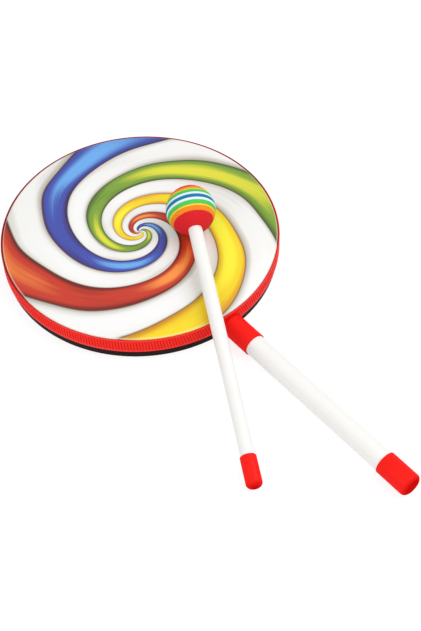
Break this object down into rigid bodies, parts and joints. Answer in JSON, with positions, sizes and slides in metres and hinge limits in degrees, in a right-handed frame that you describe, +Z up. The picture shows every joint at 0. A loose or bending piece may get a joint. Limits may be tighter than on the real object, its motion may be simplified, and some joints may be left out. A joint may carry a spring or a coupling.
{
  "type": "lollipop drum",
  "caption": "Shallow round drum with a swirl-printed head on a straight tube handle, with a foam-ball mallet lying across it.",
  "frame": {"origin": "on the table that the drum lies on, under the middle of the whole outline", "axes": "+X along the handle, from the drum to the handle's end cap; +Z up, out of the drumhead"},
  "size_m": [0.3804, 0.203, 0.0567],
  "materials": {
    "hoop_black": "black, fine moulded grain",
    "head_film": "printed film with a satin coat",
    "band_red": "ribbed, soft satin",
    "tube_white": "extruded, satin gloss",
    "plug_wood": "plain turned",
    "screw_steel": "zinc plated",
    "vinyl_red": "dipped, soft gloss",
    "foam_red": "turned closed-cell foam, matt",
    "foam_orange": "turned closed-cell foam, matt",
    "foam_yellow": "turned closed-cell foam, matt",
    "foam_green": "turned closed-cell foam, matt",
    "foam_white": "turned closed-cell foam, matt",
    "foam_blue": "turned closed-cell foam, matt"
  },
  "bodies": {
    "drum": {"drum_hoop": "hoop_black", "drumhead": "head_film", "rim_band": "band_red", "handle_tube": "tube_white", "handle_plug": "plug_wood", "handle_screws": "screw_steel", "handle_collar": "vinyl_red", "handle_cap": "vinyl_red"},
    "mallet": {"mallet_stick": "tube_white", "mallet_cap": "vinyl_red", "foam_red_near": "foam_red", "foam_orange_near": "foam_orange", "foam_yellow_near": "foam_yellow", "foam_green_near": "foam_green", "foam_white_near": "foam_white", "foam_blue": "foam_blue", "foam_white_far": "foam_white", "foam_green_far": "foam_green", "foam_yellow_far": "foam_yellow", "foam_orange_far": "foam_orange", "foam_red_far": "foam_red"}
  },
  "joints": [
    {"name": "mallet_lift", "type": "slide", "parent": "drum", "child": "mallet", "axis": [0, 0, 1], "range_m": [0, 0.15]}
  ]
}
